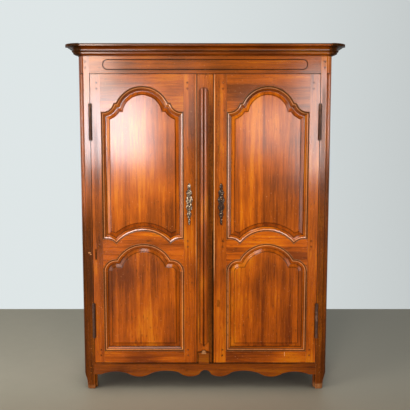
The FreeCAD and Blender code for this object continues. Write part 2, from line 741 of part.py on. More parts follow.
def locks():
    """Lock case on the back of the lock stile, its bolt, and the keep behind the centre stile."""
    middle, half = "lock_height", "lock_case_height / 2"
    case = new_body("door_left_lock_case")
    x0, x1 = "-case_edge - lock_case_width", "-case_edge"
    pad(case, "XZ", "-(door_back + lock_case_depth)", "lock_case_depth",
        rectangle(x0, x1, f"{middle} - {half}", f"{middle} + {half}"))
    hollow = rectangle(f"{x0} + lock_case_wall", f"{x1} - lock_case_wall",
                       f"{middle} - {half} + lock_case_wall", f"{middle} + {half} - lock_case_wall")
    pocket(case, "XZ", "-door_back", "lock_case_depth - lock_case_wall", hollow)
    bolt_low, bolt_high = "lock_height - bolt_height / 2", "lock_height + bolt_height / 2"
    slot = rectangle("bolt_front - bolt_slack", "bolt_front + bolt_thickness + bolt_slack",
                     f"{bolt_low} - bolt_slack", f"{bolt_high} + bolt_slack")
    pocket(case, "YZ", x1, "lock_case_wall + overrun", slot)
    both_sides(case, "door_left_lock_case")
    bolt = board("lock_bolt_left", "-case_edge - bolt_length", "-case_edge - bolt_slack",
                 "bolt_front", "bolt_front + bolt_thickness", bolt_low, bolt_high)
    both_sides(bolt, "lock_bolt_left")
    keep_x = "-stile_width / 2 + keep_start"
    keeper = board("lock_keep_left", keep_x, f"{keep_x} + keep_width", "stile_back",
                   "bolt_front + bolt_thickness + keep_slack + keep_wall",
                   "lock_height - keep_height / 2", "lock_height + keep_height / 2")
    way = rectangle("bolt_front - keep_slack", "bolt_front + bolt_thickness + keep_slack",
                    f"{bolt_low} - keep_slack", f"{bolt_high} + keep_slack")
    pocket(keeper, "YZ", f"{keep_x} + keep_width", "keep_width", way)
    both_sides(keeper, "lock_keep_left")


def escutcheons():
    """Leafy brass plate on the lock stile, pierced by the keyhole and by slits beside its spine."""
    x, low = "-key_x", "lock_height - scutcheon_drop"

    def height(share):
        return f"{low} + scutcheon_height * {share}"

    def swollen(first, second, swell):
        return bow(swell, "ccw") if second > first else line()
    right_side, left_side = [], []
    for (share, half), (next_share, next_half) in zip(LEAVES, LEAVES[1:]):
        edge = swollen(half, next_half, "leaf_bow")
        right_side += [point(f"{x} + scutcheon_width * {half}", height(share)), edge]
        left_side = [point(f"{x} - scutcheon_width * {next_half}", height(next_share)), edge] + left_side
    plate = front_board("door_left_escutcheon", "front - scutcheon_thickness", "front", right_side + left_side)
    rise = "sqrt(keyhole_radius^2 - (keyhole_slot / 2)^2)"
    slot_left, slot_right = f"{x} - keyhole_slot / 2", f"{x} + keyhole_slot / 2"
    cuts = [[point(slot_right, "lock_height - keyhole_drop"), line(),
             point(slot_right, f"lock_height - {rise}"), bow(f"keyhole_radius + {rise}", "ccw"),
             point(slot_left, f"lock_height - {rise}"), line(),
             point(slot_left, "lock_height - keyhole_drop"), line()]]
    for begin, end in SLITS:
        for way in "-+":
            place = f"{x} {way} slit_out"
            cuts.append([point(place, height(begin)), bow("slit_width / 2", "ccw"),
                         point(place, height(end)), bow("slit_width / 2", "ccw")])
    pocket(plate, "XZ", "-(front - scutcheon_thickness)", "scutcheon_thickness", *cuts)
    both_sides(plate, "door_left_escutcheon")


# --- front of the carcase -----------------------------------------------------------------

def front_posts():
    """Post with a round corner, a lap behind the door and a hollow flute from the stop down."""
    post = new_body("post_front_left")
    lap = "door_back + rebate_play"
    section = [point("-side", "front + post_round"), quarter("post_round", "ccw"),
               point("-side + post_round", "front"), line(), point("-opening", "front"), line(),
               point("-opening", lap), line(), point("-opening + post_rebate", lap), line(),
               point("-opening + post_rebate", "bay_front"), line(), point("-side", "bay_front"), line()]
    pad(post, "XY", "0", "body_height", section)
    x, y = "-side + flute_in", "front - flute_out"
    pocket(post, "XY", "body_height - flute_stop", "body_height", circle(x, y, "flute_radius"))
    outside, below = "-side - overrun", "-overrun"
    foot = [point(outside, below), line(), point("-side + foot_taper", below), line(),
            point("-side + foot_taper", "0"), bow("foot_bow", "ccw"),
            point("-side", "foot_height"), line(), point(outside, "foot_height"), line()]
    pocket(post, "XZ", "-front + overrun", "post_depth + 2 * overrun", foot)
    both_sides(post, "post_front_left")


def frieze():
    """Top rail with a round-ended cartouche cut as a fine line."""
    rail = front_board("frieze_rail", "front", "front + rail_thickness",
                       rectangle("-opening", "opening", "frieze_bottom", "body_height"))

    middle, half = "frieze_bottom + frieze_width / 2", "(cartouche_length - cartouche_height) / 2"

    def stadium(trim):
        radius = f"(cartouche_height / 2 - ({trim}))"
        low, high = f"{middle} - {radius}", f"{middle} + {radius}"
        return [point(f"-{half}", low), line(), point(half, low), quarter(radius, "ccw"),
                point(f"{half} + {radius}", middle), quarter(radius, "ccw"), point(half, high), line(),
                point(f"-{half}", high), quarter(radius, "ccw"),
                point(f"-{half} - {radius}", middle), quarter(radius, "ccw")]
    pocket(rail, "XZ", "-front", "cartouche_depth", stadium("0"), stadium("cartouche_line"))
    keep(rail, "frieze_rail")


def apron():
    """Bottom rail whose lower edge runs in arches and drops about a middle arch."""
    right_half = [("cusp_half", "cusp_height"), ("opening - wave_in", "wave_height"),
                  ("opening - dip_out", "dip_height"), ("opening - dip_in", "dip_height"),
                  ("ear_in", "apron_ear")]
    bows = [("drop_bow", "ccw"), ("arch_bow", "cw"), ("drop_bow", "ccw"), ("arch_bow", "cw")]
    outline = [point("opening", "apron_ear"), line(), point("opening", "apron_top"), line(),
               point("-opening", "apron_top"), line(), point("-opening", "apron_ear"), line()]
    for (x, z), edge in zip(right_half[::-1], bows[::-1]):
        outline += [point(f"-({x})", z), bow(*edge)]
    outline += [point("-cusp_half", "cusp_height"), bow("middle_bow", "cw")]
    for (x, z), edge in zip(right_half, bows):
        outline += [point(x, z), bow(*edge)]
    outline += [point("ear_in", "apron_ear"), line()]
    keep(front_board("apron_rail", "front", "front + rail_thickness", outline), "apron_rail")


def centre_stile():
    keep(front_board("centre_stile", "front + stile_recess", "stile_back",
                     rectangle("-stile_width / 2", "stile_width / 2", "apron_top", "frieze_bottom")),
         "centre_stile")
    face = "front + stile_recess"
    reeds = new_body("centre_reeds")
    half = "reed_width / 2"
    x0, x1 = f"reed_x - {half}", f"reed_x + {half}"
    shoulder = f"{face} - reed_shoulder"
    hollow = bow("reed_rise - reed_shoulder", "cw")
    section = [point(x0, face), line(), point(x1, face), line(), point(x1, shoulder), line(),
               point(f"{x1} - reed_fillet", shoulder), hollow,
               point("reed_x", shoulder), hollow,
               point(f"{x0} + reed_fillet", shoulder), line(), point(x0, shoulder), line()]
    pad(reeds, "XY", "reed_bottom", "reed_top - reed_bottom", section)
    for end, spring in (("reed_top", f"reed_top - {half}"), ("reed_bottom", f"reed_bottom + {half}")):
        for x, turn in ((x0, "cw"), (x1, "ccw")):
            waste = [point(x, spring), quarter(half, turn), point("reed_x", end), line(), point(x, end), line()]
            pocket(reeds, "XZ", f"-({face} - reed_rise)", "reed_rise", waste)
    keep(reeds, "centre_reeds")
    block_half = "base_block_width / 2"
    cap = f"{block_half} + block_cap_reach"
    top = "apron_top + base_block_height"
    under_cap = f"{top} - block_cap_height"
    block = new_body("stile_base_block")
    pad(block, "XZ", f"-({face})", "base_block_rise",
        rectangle(f"reed_x - {block_half}", f"reed_x + {block_half}", "apron_top", under_cap))
    pad(block, "XZ", f"-({face})", "base_block_rise + block_cap_reach",
        rectangle(f"reed_x - ({cap})", f"reed_x + {cap}", under_cap, top))
    finial = [point("reed_x + finial_radius", top), quarter("finial_radius", "ccw"),
              point("reed_x", f"{top} + finial_radius"), quarter("finial_radius", "ccw"),
              point("reed_x - finial_radius", top), line()]
    pad(block, "XZ", f"-({face})", "finial_thickness", finial)
    keep(block, "stile_base_block")


# --- cornice ------------------------------------------------------------------------------

def cornice_profile(across, step="0"):
    """Section of the cornice. The formula across turns a reach into a place in the sketch."""
    z = "body_height"
    top = f"{z} + cornice_height"
    soffit = f"{top} - fillet_height - soffit_rise"
    bead = f"{z} + bead_low"
    corners = (
        ("cornice_foot", z, line()),
        ("fascia_reach", f"{z} + fascia_low", line()),
        ("fascia_reach", bead, quarter("bead_radius", "cw")),
        ("fascia_reach + bead_radius", f"{bead} + bead_radius", line()),
        ("fascia_reach", f"{bead} + bead_radius", line()),
        ("fascia_reach", f"{soffit} - cove_radius", quarter("cove_radius", "ccw")),
        ("fascia_reach + cove_radius", soffit, line()),
        ("cornice_reach", f"{top} - fillet_height", line()),
        ("cornice_reach", top, line()),
    )
    outline = [point(across("-cornice_board"), z), line()]
    for reach, height, edge in corners:
        outline += [point(across(f"{reach} + {step}"), height), edge]
    return outline + [point(across("-cornice_board"), top), line()]


def to_left(reach):
    return f"-side - ({reach})"


def to_front(reach):
    return f"front - ({reach})"


def round_corner(body, profile_plane, offset, across, about, reverse):
    """Turns the stepped cornice section through half a right angle about the corner's centre."""
    sketch = body_sketch(body, profile_plane, offset, cornice_profile(across, "corner_step"))
    axis = sketch.addGeometry(Part.LineSegment(Vector(0, 0, 0), Vector(0, number("cornice_height"), 0)), True)
    sketch.addConstraint(Sketcher.Constraint("Vertical", axis))
    fix(sketch, "DistanceX", about, -1, 1, axis, 1)
    fix(sketch, "DistanceY", "0", -1, 1, axis, 1)
    fix(sketch, "DistanceY", "cornice_height", axis, 1, axis, 2)
    turned = body.newObject("PartDesign::Revolution", f"{body.Name}_turn")
    turned.Profile = sketch
    turned.ReferenceAxis = (sketch, ["Axis0"])
    turned.Angle = 45
    turned.Reversed = reverse
    body.Tip = turned


def cornice():
    """Three mouldings whose round corners meet in a mitre, and a plain rail at the back."""
    long_part = new_body("cornice_front")
    end = "(side - cornice_board)"
    pad(long_part, "YZ", f"-{end}", f"2 * {end}", cornice_profile(to_front))
    for offset, reverse in ((f"-{end}", True), (end, False)):
        round_corner(long_part, "YZ", offset, to_front, "front + cornice_board", reverse)
    keep(long_part, "cornice_front")
    return_part = new_body("cornice_left")
    pad(return_part, "XZ", "-back", "back - front - cornice_board", cornice_profile(to_left))
    round_corner(return_part, "XZ", "-(front + cornice_board)", to_left, "-side + cornice_board", False)
    both_sides(return_part, "cornice_left")
    keep(board("cornice_rear_rail", "-side + cornice_board", "side - cornice_board",
               "back - cornice_board", "back", "body_height", "body_height + cornice_height"),
         "cornice_rear_rail")


# --- sides, back and inside ---------------------------------------------------------------

def side_frames():
    """Rails between the posts and bevelled panels between the rails."""
    y = ("bay_front", "bay_back")
    x = ("-side_face", "-side_inner")
    for name, low, high in (("top", "side_top", "body_height"),
                            ("middle", "side_middle_low", "side_middle_high"),
                            ("bottom", "side_bottom_height", "side_low")):
        both_sides(board(f"side_rail_{name}_left", *x, *y, low, high), f"side_rail_{name}_left")
    panel_x = "-side_face + side_panel_front"
    for name, low, high in (("upper", "side_middle_high", "side_top"),
                            ("lower", "side_low", "side_middle_low")):
        panel = new_body(f"side_panel_{name}_left")
        slab = pad(panel, "YZ", panel_x, "side_panel_thickness", rectangle(*y, low, high))
        doc.recompute()
        face_x = number(panel_x)
        rim = [f"Edge{i}" for i, edge in enumerate(slab.Shape.Edges, start=1)
               if all(abs(v.X - face_x) < 1e-6 for v in edge.Vertexes)]
        bevel = panel.newObject("PartDesign::Chamfer", f"{panel.Name}_bevel")
        bevel.Base = (slab, rim)
        bevel.ChamferType = "Two distances"
        bind(bevel, "Size", "side_bevel_depth")
        bind(bevel, "Size2", "side_bevel")
        panel.Tip = bevel
        both_sides(panel, f"side_panel_{name}_left")


def back_frame():
    """Rails between the rear posts and upright boards let in behind them."""
    for name, low in (("top", "body_height - back_rail_width"),
                      ("middle", "side_middle_height - back_rail_width / 2"),
                      ("bottom", "side_bottom_height")):
        keep(board(f"back_rail_{name}", "-rear_opening", "rear_opening", "back - back_thickness", "back",
                   low, f"{low} + back_rail_width"), f"back_rail_{name}")
    post = board("post_rear_left", "-side", "-rear_opening", "bay_back", "back", "0", "body_height")
    both_sides(post, "post_rear_left")
    boards = []
    pitch = "(2 * rear_opening / back_board_count)"
    for place in range(int(number("back_board_count"))):
        x0 = f"-rear_opening + {place} * {pitch}"
        boards.append(board(f"back_board_{place}", f"{x0} + board_joint / 2", f"{x0} + {pitch} - board_joint / 2",
                            "back - back_thickness - back_board_thickness", "back - back_thickness",
                            "side_bottom_height", "body_height"))
    keep(group("back_boards", boards), "back_boards")


def level_boards(name, top):
    """Boards that run side to side, the first of them between the front posts."""
    z = (f"({top}) - floor_thickness", top)
    between_posts = "opening - post_rebate - shelf_play"
    boards = [board(f"{name}_front", f"-({between_posts})", between_posts,
                    "door_back", "bay_front + shelf_setback", *z)]
    reach = "side_inner - shelf_play"
    width = "((bay_back - bay_front - 2 * shelf_setback) / floor_board_count)"
    for place in range(int(number("floor_board_count"))):
        y0 = f"bay_front + shelf_setback + {place} * {width}"
        boards.append(board(f"{name}_{place}", f"-({reach})", reach, f"{y0} + board_joint", f"{y0} + {width}", *z))
    return keep(group(name, boards), name)


def inside():
    """Floor, ceiling, shelves and the cleats that carry them."""
    level_boards("floor_boards", "floor_height")
    level_boards("ceiling_boards", "body_height")
    rests = ["floor_height - floor_thickness", "body_height - floor_thickness"]
    for place, name in enumerate(("lower", "middle", "upper")):
        top = f"(first_shelf + {place} * shelf_pitch)"
        keep(board(f"shelf_{name}", "-side_inner + shelf_play", "side_inner - shelf_play",
                   "bay_front + shelf_setback", "bay_back - shelf_setback",
                   f"{top} - shelf_thickness", top), f"shelf_{name}")
        rests.append(f"{top} - shelf_thickness")
    cleats = []
    for place, under in enumerate(rests):
        cleats.append(board(f"cleat_{place}", "-side_inner", "-side_inner + cleat_size",
                            "bay_front", "bay_back", f"{under} - cleat_size", under))
    both_sides(group("shelf_cleats_left", cleats), "shelf_cleats_left")


def check(thing):
    """Stops the run if an object failed or has no sound shape."""
    if "Invalid" in thing.State or "Error" in thing.State:
        raise RuntimeError(f"{thing.Label} failed: {thing.State}")


def write_parts():
    doc.recompute()
    for thing in doc.Objects:
        check(thing)
    os.makedirs("parts", exist_ok=True)
    for piece in PARTS:
        if piece.Shape.isNull() or not piece.Shape.isValid():
            raise RuntimeError(f"{piece.Label} has no sound shape")
        piece.Shape.exportStep(f"parts/{piece.Label}.step")


door_frame()
door_panels()
hinges()
locks()
escutcheons()
front_posts()
frieze()
apron()
centre_stile()
cornice()
side_frames()
back_frame()
inside()
write_parts()
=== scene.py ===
"""Dresses the armoire: waxed cherry, iron hinges and locks, brass escutcheons, pegs and stage."""
import math

import bmesh
import bpy
from bpy.props import FloatProperty, FloatVectorProperty, IntProperty, PointerProperty
from mathutils import Matrix, Vector


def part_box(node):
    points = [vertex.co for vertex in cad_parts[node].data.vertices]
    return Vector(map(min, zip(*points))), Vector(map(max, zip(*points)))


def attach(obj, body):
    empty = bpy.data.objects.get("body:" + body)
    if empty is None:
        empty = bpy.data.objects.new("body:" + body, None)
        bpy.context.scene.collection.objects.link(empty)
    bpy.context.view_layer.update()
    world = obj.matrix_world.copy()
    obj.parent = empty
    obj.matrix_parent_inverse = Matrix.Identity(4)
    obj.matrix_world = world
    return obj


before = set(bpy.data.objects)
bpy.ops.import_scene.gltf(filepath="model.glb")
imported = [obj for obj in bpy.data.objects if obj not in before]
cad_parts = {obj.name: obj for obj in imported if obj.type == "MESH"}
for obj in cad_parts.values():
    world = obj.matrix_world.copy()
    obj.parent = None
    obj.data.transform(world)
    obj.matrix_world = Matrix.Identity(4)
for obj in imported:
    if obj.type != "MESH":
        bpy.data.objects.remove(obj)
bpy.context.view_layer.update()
CAD_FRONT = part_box("post_front_left")[0].y

bl_info = {
    "name": "Armoire",
    "version": (1, 0, 0),
    "blender": (4, 5, 0),
    "location": "3D View > Sidebar > Armoire",
    "description": "Dresses a panelled two-door armoire in wood, iron and brass",
    "category": "Object",
}


# --- nodes written as expressions -----------------------------------------------------------

class Term:
    """One socket of a node tree, so that sums over its values read as plain expressions."""

    def __init__(self, nodes, socket):
        self.nodes = nodes
        self.socket = socket

    def math(self, operation, *others):
        """The result of a Math node on this value and the others."""
        sockets = dict(enumerate((self, *others)))
        return self.nodes.node("ShaderNodeMath", {"operation": operation}, sockets)

    def __add__(self, other):
        return self.math("ADD", other)

    __radd__ = __add__

    def __sub__(self, other):
        return self.math("SUBTRACT", other)

    def __rsub__(self, other):
        return self.nodes.term(other) - self

    def __mul__(self, other):
        return self.math("MULTIPLY", other)

    __rmul__ = __mul__

    def __truediv__(self, other):
        return self.math("DIVIDE", other)

    def __rtruediv__(self, other):
        return self.nodes.term(other) / self

    def at_least(self, other):
        """The greater of two values."""
        return self.math("MAXIMUM", other)

    def at_most(self, other):
        """The smaller of two values."""
        return self.math("MINIMUM", other)

    def over(self, low, high):
        """0 below low, 1 above high and smooth between them."""
        return self.nodes.node("ShaderNodeMapRange", {"interpolation_type": "SMOOTHSTEP"},
                               {"Value": self, "From Min": low, "From Max": high})

    def within(self, middle, half, soft):
        """1 up to half away from middle, fading to 0 over soft."""
        return 1 - (self - middle).math("ABSOLUTE").over(half, half + soft)


class Nodes:
    """A node tree that is filled by expressions."""

    def __init__(self, tree):
        self.tree = tree

    def term(self, value):
        """A plain number as a term."""
        made = self.tree.nodes.new("ShaderNodeValue")
        made.outputs[0].default_value = value
        return Term(self, made.outputs[0])

    def fill(self, socket, value):
        """Links a term to a socket, or sets the socket to a plain value."""
        if isinstance(value, Term):
            self.tree.links.new(value.socket, socket)
        else:
            socket.default_value = value

    def node(self, kind, settings, sockets, output=0):
        """Any node: what is set on it first, then the values or links of its sockets."""
        made = self.tree.nodes.new(kind)
        for name, setting in settings.items():
            if name == "stops":
                ramp = made.color_ramp
                while len(ramp.elements) < len(setting):
                    ramp.elements.new(1.0)
                for element, (position, colour) in zip(ramp.elements, setting):
                    element.position = position
                    element.color = (*colour, 1.0)
            else:
                setattr(made, name, setting)
        for name, value in sockets.items():
            self.fill(made.inputs[name], value)
        return Term(self, made.outputs[output])

    def split(self, vector):
        """The three parts of a vector."""
        made = self.tree.nodes.new("ShaderNodeSeparateXYZ")
        self.fill(made.inputs[0], vector)
        return (Term(self, socket) for socket in made.outputs)

    def blend(self, first, second, share):
        """Colour first turning to colour second as share goes from 0 to 1."""
        first, second = (c if isinstance(c, Term) else (*c, 1.0) for c in (first, second))
        return self.node("ShaderNodeMix", {"data_type": "RGBA", "clamp_factor": True},
                         {0: share, 6: first, 7: second}, 2)


class Finish(Nodes):
    """A material in the making: one Principled shader and the nodes that vary it."""

    def __init__(self, name, **constants):
        self.material = bpy.data.materials.new(name)
        self.material.use_nodes = True
        super().__init__(self.material.node_tree)
        self.tree.nodes.clear()
        self.shader = self.tree.nodes.new("ShaderNodeBsdfPrincipled")
        output = self.tree.nodes.new("ShaderNodeOutputMaterial")
        self.tree.links.new(self.shader.outputs["BSDF"], output.inputs["Surface"])
        for socket, value in constants.items():
            self.paint(socket.replace("_", " "), value)
        self.place = self.node("ShaderNodeTexCoord", {}, {}, "Object")
        self.x, self.y, self.z = self.split(self.place)

    def paint(self, socket, value):
        """Gives the shader's socket a value or a term."""
        self.fill(self.shader.inputs[socket], value)

    def noise(self, place, scale, detail=2.0, rough=0.5, distortion=0.0):
        """Uneven values from 0 to 1, with scale patches to the metre."""
        return self.node("ShaderNodeTexNoise", {"normalize": True},
                         {"Vector": place, "Scale": scale, "Detail": detail, "Roughness": rough,
                          "Distortion": distortion})

    def stretched(self, scale, shift):
        """The place on the object, moved by shift and scaled along each axis."""
        moved = self.node("ShaderNodeVectorMath", {"operation": "ADD"}, {0: self.place, 1: shift})
        return self.node("ShaderNodeVectorMath", {"operation": "MULTIPLY"}, {0: moved, 1: scale})

    def ramp(self, share, *stops):
        """The colour at share between stops of (position, colour)."""
        return self.node("ShaderNodeValToRGB", {"stops": stops}, {0: share})

    def behind_face(self, low, high):
        """1 where the surface lies from low to high metres behind the front posts' face."""
        return self.y.within(CAD_FRONT + (low + high) / 2, (high - low) / 2, LINE_EDGE)

    def hollows(self, distance, inside=False):
        """1 on open faces and 0 in corners. With inside, 1 on broad faces and 0 at sharp edges."""
        return self.node("ShaderNodeAmbientOcclusion",
                         {"samples": 6, "inside": inside, "only_local": inside},
                         {"Distance": distance}, "AO")

    def relief(self, height, depth, worn=0.0):
        """Bumps the surface by depth metres. With worn, sharp edges look rounded that far."""
        sockets = {"Strength": 1.0, "Distance": depth, "Height": height}
        if worn:
            round_edge = self.node("ShaderNodeBevel", {"samples": 6}, {"Radius": worn}, "Normal")
            sockets["Normal"] = round_edge
        self.paint("Normal", self.node("ShaderNodeBump", {}, sockets, "Normal"))


# --- sizes and colours a user would change --------------------------------------------------

def colour(name, description, value):
    """A colour that a user can pick."""
    return FloatVectorProperty(name=name, description=description, default=value, subtype="COLOR",
                               min=0.0, max=1.0, size=3)


def length(name, description, value):
    """A length that a user can set."""
    return FloatProperty(name=name, description=description, default=value, unit="LENGTH",
                         subtype="DISTANCE")


class ArmoireColours(bpy.types.PropertyGroup):
    """Colours of the woods, the metals and the stage."""
    cherry_light: colour("Cherry, light", "Waxed cherry between its streaks", (0.325, 0.060, 0.0010))
    cherry_dark: colour("Cherry, dark", "Streaks of the waxed cherry", (0.098, 0.0135, 0.0007))
    honey: colour("Cherry, honey", "Brightest streaks of the waxed cherry", (0.440, 0.115, 0.0018))
    # Old wax also serves as painted shade in corners and lines and painted shadow on the floor.
    grime_and_shade: colour("Old wax", "Dark wax left in quirks and corners", (0.012, 0.004, 0.0015))
    wax_glow: colour("Wax glow", "Tint of the soft reflection in the wax", (1.0, 0.38, 0.03))
    # Rubbed edges also give painted highlights: the doors' meeting edges and the mouldings' ridges.
    rubbed_and_highlit: colour("Rubbed edges", "Wood worn pale on the sharp edges", (0.700, 0.330, 0.130))
    inner_light: colour("Inner wood, light", "Unpolished boards", (0.420, 0.270, 0.150))
    inner_dark: colour("Inner wood, dark", "Streaks of the unpolished boards", (0.190, 0.105, 0.050))
    iron: colour("Iron", "Browned iron of hinges and locks", (0.042, 0.017, 0.009))
    iron_worn: colour("Bare iron", "Iron where its brown has worn off", (0.42, 0.36, 0.28))
    rust: colour("Rust", "Rusted patches of the iron", (0.095, 0.032, 0.013))
    brass: colour("Brass", "Worn high places of the escutcheons", (0.560, 0.420, 0.270))
    tarnish: colour("Tarnish", "Low places of the escutcheons", (0.026, 0.011, 0.005))
    floor: colour("Floor", "Pale floor under the armoire", (0.400, 0.375, 0.288))
    floor_near: colour("Near floor", "Floor in the shade towards the viewer", (0.192, 0.142, 0.078))
    wall: colour("Surroundings", "Pale surroundings behind the armoire", (0.735, 0.790, 0.795))
    wall_far: colour("Far surroundings", "Surroundings away from the window", (0.540, 0.575, 0.575))
    room: colour("Room light", "Faint light from all round", (0.80, 0.84, 0.86))


class ArmoireSizes(bpy.types.PropertyGroup):
    """Sizes of the pegs, the leaves and the stage."""
    peg_radius: length("Peg", "Radius of the pegs that pin the joints", 0.0036)
    peg_rise: length("Peg rise", "How far a peg has crept out of the wood", 0.0004)
    peg_length: length("Peg length", "How deep a peg reaches into the wood", 0.006)
    peg_inset: length("Peg inset", "Peg beyond the shoulder of its rail", 0.022)
    peg_pitch: length("Peg pitch", "Upper peg to lower peg of a joint", 0.034)
    peg_sides: IntProperty(name="Peg sides", description="Whittled faces of a peg", default=9, min=5)
    leaf_rise: length("Leaf rise", "How far the cast leaves stand out of the escutcheon", 0.0022)
    leaf_width: length("Leaf width", "Half width of a cast leaf and of a bead", 0.0030)
    bud_width: length("Bud width", "Half width of the bud beside each leaf", 0.0020)
    bead_length: length("Bead length", "Half length of the beads down the middle", 0.0055)
    eye_height: length("Eye height", "Height of the camera over the floor", 1.5085)
    eye_distance: length("Eye distance", "Camera to the front of the armoire", 3.64)
    eye_shift: length("Eye shift", "Camera to the right of the middle", -0.001)
    eye_tilt: FloatProperty(name="Eye tilt", description="Camera looks down by", subtype="ANGLE",
                            default=math.radians(6.02))
    lens: FloatProperty(name="Lens", description="Focal length", default=54.44, unit="CAMERA")
    floor_reach: length("Floor reach", "Floor to either side and to the front of the middle", 6.0)
    floor_back: length("Floor depth", "Floor ends this far behind the middle", 1.52)


# --- finishes -------------------------------------------------------------------------------

# Depths in metres behind the front posts' face, from and to, of the dark lines in the incised
# cartouche, the frames' mouldings and round the raised fields, dark wax with painted shade, and of
# the pale ridge along the mouldings, worn wood with a painted highlight.
CARTOUCHE_LINES = ((0.0006, 0.0024),)
MOULDING_LINES = ((0.0007, 0.0014), (0.0030, 0.0060), (0.0102, 0.0150))
FIELD_LINES = ((0.0073, 0.0084),)
MOULDING_RIDGES = ((0.0018, 0.0028),)
LINE_EDGE = 0.0004

# Wood patterns are drawn out along the grain: the scale of each axis, by the grain's axis.
ALONG = 0.040
STRETCH = {"X": (ALONG, 1.0, 1.0), "Y": (1.0, ALONG, 1.0), "Z": (1.0, 1.0, ALONG)}
EVEN = (1.0, 1.0, 1.0)
FLECK_ALONG = 0.3

# Noises: patches to the metre, detail, roughness and, where it has one, distortion.
FIGURE = (15.0, 4.0, 0.60, 0.9)
STREAK = (85.0, 4.0, 0.65, 0.4)
PORE = (420.0, 2.0, 0.6)
CLOUD = (2.6, 2.0, 0.5)
BLOTCH = (34.0, 5.0, 0.66, 2.0)
FRECKLE = (95.0, 3.0, 0.65)
SPECK = (230.0, 2.0, 0.55)
FLECK = (95.0, 3.0, 0.6)
RUBBING = (21.0, 3.0, 0.6)
CHIP = (150.0, 2.0, 0.6)
IRON_PATCH = (55.0, 5.0, 0.62, 0.8)
IRON_PIT = (420.0, 3.0, 0.6)
BRASS_PATCH = (230.0, 4.0, 0.7)
FLOOR_MOTTLE = (9.0, 4.0, 0.6)

# Darker and paler marks, by piece: middle across and up, half width and half height in metres,
# strength, and whether the mark is pale. Some are painted shade and painted highlights, as noted.
MARKS = {
    "door_left_hinge_stile": ((-0.6495, 0.829, 0.0045, 0.026, 0.9, False),
                              (-0.640, 1.22, 0.010, 0.30, 0.25, False)),
    # The pale line down the left door's meeting edge is a painted highlight.
    "door_left_lock_stile": ((-0.0530, 1.30, 0.0013, 0.45, 0.6, True),
                             (-0.075, 1.36, 0.020, 0.20, 0.22, False)),
    # The pale line down the right door's meeting edge is a painted highlight.
    "door_right_lock_stile": ((0.0532, 1.30, 0.0017, 0.45, 1.0, True),
                              (0.075, 1.62, 0.012, 0.20, 0.35, False),
                              (0.080, 0.53, 0.007, 0.017, 0.5, False)),
    "door_right_bottom_rail": ((0.480, 0.217, 0.0014, 0.010, 0.9, True),),
    # The first two darken the right flat beside the reeds: painted shade.
    "centre_stile": ((0.0345, 0.95, 0.0110, 0.66, 0.74, False),
                     (0.0445, 0.50, 0.0045, 0.42, 1.0, False),
                     (-0.0300, 1.15, 0.0120, 0.45, 0.22, False)),
    "stile_base_block": ((-0.008, 0.232, 0.012, 0.008, 0.9, True),),
    "post_front_left": ((-0.688, 0.838, 0.006, 0.002, 0.9, True),
                        (-0.681, 0.829, 0.004, 0.0015, 0.9, True),
                        (-0.712, 0.35, 0.036, 0.60, 0.70, False),
                        (-0.70, 0.004, 0.06, 0.014, 0.12, True)),
    "post_front_right": ((0.712, 0.55, 0.036, 0.70, 0.60, False),
                         (0.690, 1.50, 0.010, 0.25, 0.5, False),
                         (0.70, 0.008, 0.06, 0.018, 0.22, True)),
    # A dark band along the top of the apron: painted shadow under the doors.
    "apron_rail": ((0.0, 0.1590, 0.50, 0.0035, 0.8, False),),
    "cornice_front": ((0.0, 2.0480, 1.0, 0.0030, 0.85, False),
                      (0.0, 2.0120, 1.0, 0.0020, 0.8, False),
                      # Dark ends of the cornice: painted shade.
                      (-0.800, 2.02, 0.075, 0.06, 0.95, False),
                      (0.800, 2.02, 0.075, 0.06, 0.95, False)),
    # Dark cornice sides: painted shade.
    "cornice_left": ((-0.80, 2.02, 0.2, 0.06, 0.8, False),),
    "cornice_right": ((0.80, 2.02, 0.2, 0.06, 0.8, False),),
}

# How far in metres each look reaches from a corner or from a sharp edge.
CREVICE, CORNER, SEAM, SHARP_EDGE = 0.008, 0.024, 0.0026, 0.0045
DUST, IRON_EDGE, BRASS_LOW, FLOOR_SHADE = 0.03, 0.0025, 0.005, 0.26
# Depth in metres of each finish's relief, and how far waxed edges look rounded.
WAX_RELIEF, DRY_RELIEF, IRON_RELIEF, BRASS_RELIEF = 0.0007, 0.001, 0.0006, 0.0004
WAX_ROUND = 0.0025


def shaded(colour, shade):
    """A colour made darker or lighter."""
    return [c * shade for c in colour]


def grown_wood(finish, grain, seed, dark, light, bright):
    """Colour, streaks, pores and broad clouds of wood whose fibres run along the grain axis."""
    shift = (seed * 1.37, seed * 2.11, seed * 0.73)
    board = finish.stretched(STRETCH[grain], shift)
    figure = finish.noise(board, *FIGURE)
    streak = finish.noise(board, *STREAK)
    pore = finish.noise(board, *PORE)
    cloud = finish.noise(finish.stretched(EVEN, shift), *CLOUD)
    share = ((figure - 0.5) * 1.9 + (streak - 0.5) * 1.05 + (pore - 0.5) * 0.8
             + (cloud - 0.5) * 2.0 + 0.56)
    half = [(a + b) / 2 for a, b in zip(light, dark)]
    tone = finish.ramp(share, (0.10, dark), (0.42, half), (0.72, light), (1.0, bright))
    return tone, streak, pore, cloud


def dark_wax_and_shade(finish, freckle, lines):
    """How dark: dark wax with painted shade in corners and between each line's depths, dark seams.
    """
    # Painted shade with dark wax in creases and corners.
    crevice = 1 - finish.hollows(CREVICE).over(0.50, 1.0)
    corner = 1 - finish.hollows(CORNER).over(0.25, 1.0)
    wax_and_shade = (crevice * (0.8 + freckle * 0.6) + corner * 0.28).at_most(1.0)
    # Painted shade with dark wax between the depths of each line.
    for low, high in lines:
        wax_and_shade = wax_and_shade.at_least(finish.behind_face(low, high) * (0.50 + freckle * 0.6))
    seam = 1 - finish.hollows(SEAM, inside=True).over(0.25, 0.75)
    return (wax_and_shade * 0.94 + seam * freckle * 1.4).at_most(0.96)


